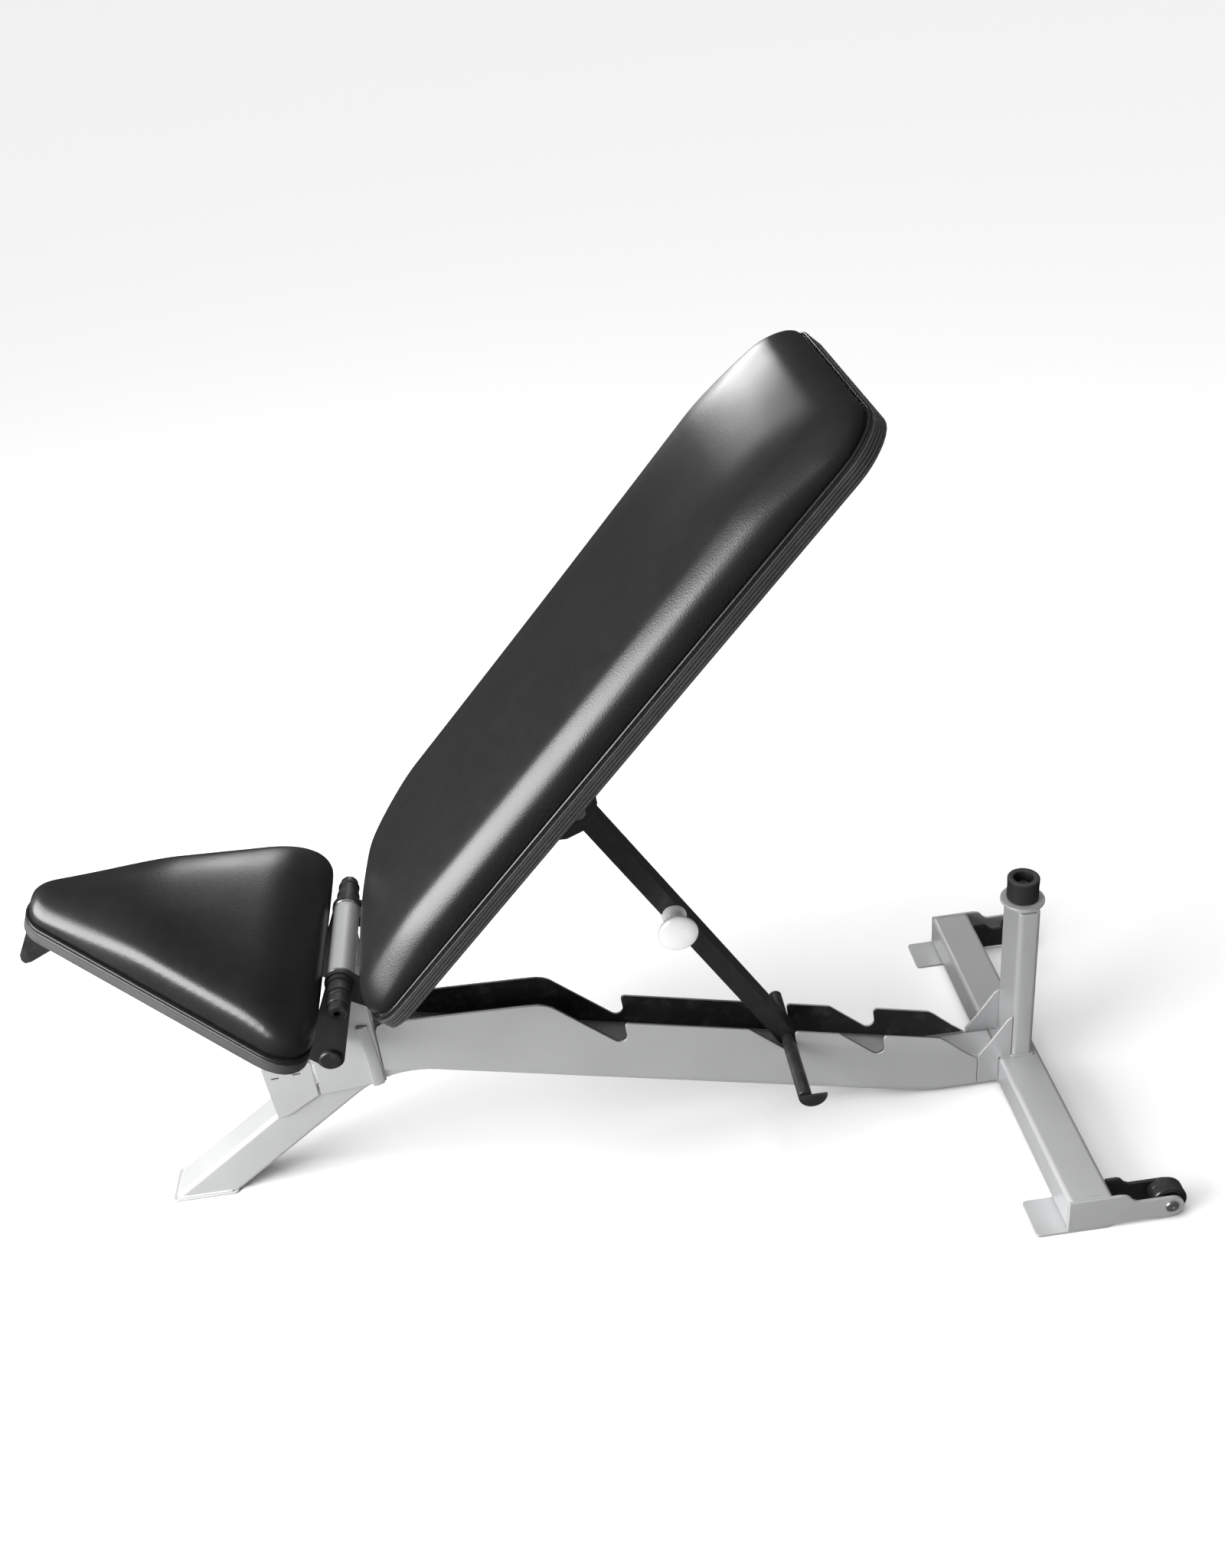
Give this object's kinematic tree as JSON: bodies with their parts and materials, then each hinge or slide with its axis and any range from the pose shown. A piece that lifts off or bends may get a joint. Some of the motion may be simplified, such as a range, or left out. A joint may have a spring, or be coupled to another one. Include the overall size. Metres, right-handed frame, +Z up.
{
  "type": "adjustable weight bench",
  "caption": "Adjustable weight bench with padded seat and backrest, notched prop ladder, prop arm, rear post and transport wheels.",
  "frame": {"origin": "middle of the object's plan box, on the floor", "axes": "+X towards the rear post, along the spine; +Y to the sitter's right; +Z up"},
  "size_m": [1.3001, 0.5664, 0.9734],
  "materials": {
    "silver_paint": "satin light silver powder coat",
    "black_powder_coat": "semi-gloss black powder coat",
    "zinc": "bright zinc plated steel",
    "polished_aluminium": "polished",
    "moulded_pad_tray": "moulded, finely ribbed edge",
    "vinyl": "smooth black vinyl over foam, satin",
    "bumper_rubber": "matte black",
    "wheel_urethane": "glossy black"
  },
  "bodies": {
    "frame": {"main_tube": "silver_paint", "front_foot_plate": "silver_paint", "ladder_plate_left": "silver_paint", "ladder_plate_right": "silver_paint", "tower_side_left": "silver_paint", "tower_side_right": "silver_paint", "tower_web": "silver_paint", "tower_strip_left": "silver_paint", "tower_strip_right": "silver_paint", "receiver_top": "silver_paint", "receiver_side_left": "silver_paint", "receiver_side_right": "silver_paint", "pivot_tube": "silver_paint", "pivot_shaft": "zinc", "pivot_washer_left": "zinc", "pivot_washer_right": "zinc", "pivot_spacer_left": "black_powder_coat", "pivot_spacer_right": "black_powder_coat", "pivot_collar_left": "black_powder_coat", "pivot_collar_right": "black_powder_coat", "pivot_bolt_head_left": "black_powder_coat", "pivot_bolt_head_right": "black_powder_coat", "rear_cross_tube": "silver_paint", "end_plate_left": "silver_paint", "end_plate_right": "silver_paint", "fork_inner_left": "black_powder_coat", "fork_inner_right": "black_powder_coat", "rear_foot_plate_left": "silver_paint", "rear_foot_plate_right": "silver_paint", "wheel_axle_left": "zinc", "wheel_axle_right": "zinc", "rear_post": "silver_paint", "post_gusset_left": "silver_paint", "post_gusset_right": "silver_paint", "post_cap_plate": "silver_paint", "bumper": "bumper_rubber", "bumper_bolt": "zinc"},
    "backrest": {"back_board": "moulded_pad_tray", "back_cushion": "vinyl", "back_frame_tube": "black_powder_coat", "back_lower_plate": "black_powder_coat", "back_hinge_plate_left": "black_powder_coat", "back_hinge_plate_right": "black_powder_coat", "arm_bracket_left": "black_powder_coat", "arm_bracket_right": "black_powder_coat", "arm_pivot_pin": "zinc"},
    "prop_arm": {"prop_arm_tube": "black_powder_coat", "crossbar": "black_powder_coat", "crossbar_lug": "black_powder_coat", "knob_stem": "polished_aluminium", "knob_cap": "polished_aluminium"},
    "seat": {"seat_board": "moulded_pad_tray", "seat_cushion": "vinyl", "seat_mount_plate": "black_powder_coat", "seat_hinge_plate_left": "black_powder_coat", "seat_hinge_plate_right": "black_powder_coat", "seat_stop_bar": "black_powder_coat", "seat_front_tab": "black_powder_coat"},
    "wheel_left": {"wheel_left": "wheel_urethane"},
    "wheel_right": {"wheel_right": "wheel_urethane"}
  },
  "joints": [
    {"name": "back_hinge", "type": "hinge", "parent": "frame", "child": "backrest", "pos_m": [-0.2874, 0, 0.348], "axis": [0, -1, 0], "range_deg": [0, 23]},
    {"name": "arm_hinge", "type": "hinge", "parent": "backrest", "child": "prop_arm", "pos_m": [0.0066, 0, 0.501], "axis": [0, -1, 0], "range_deg": [-27, 0]},
    {"name": "seat_hinge", "type": "hinge", "parent": "frame", "child": "seat", "pos_m": [-0.2874, 0, 0.348], "axis": [0, 1, 0], "range_deg": [0, 12]},
    {"name": "wheel_left_spin", "type": "hinge", "parent": "frame", "child": "wheel_left", "pos_m": [0.6291, -0.264, 0.0215], "axis": [0, 1, 0], "continuous": true},
    {"name": "wheel_right_spin", "type": "hinge", "parent": "frame", "child": "wheel_right", "pos_m": [0.6291, 0.264, 0.0215], "axis": [0, 1, 0], "continuous": true}
  ],
  "couplings": [
    {"joint": "arm_hinge", "follows": "back_hinge", "ratio": -1.15}
  ]
}
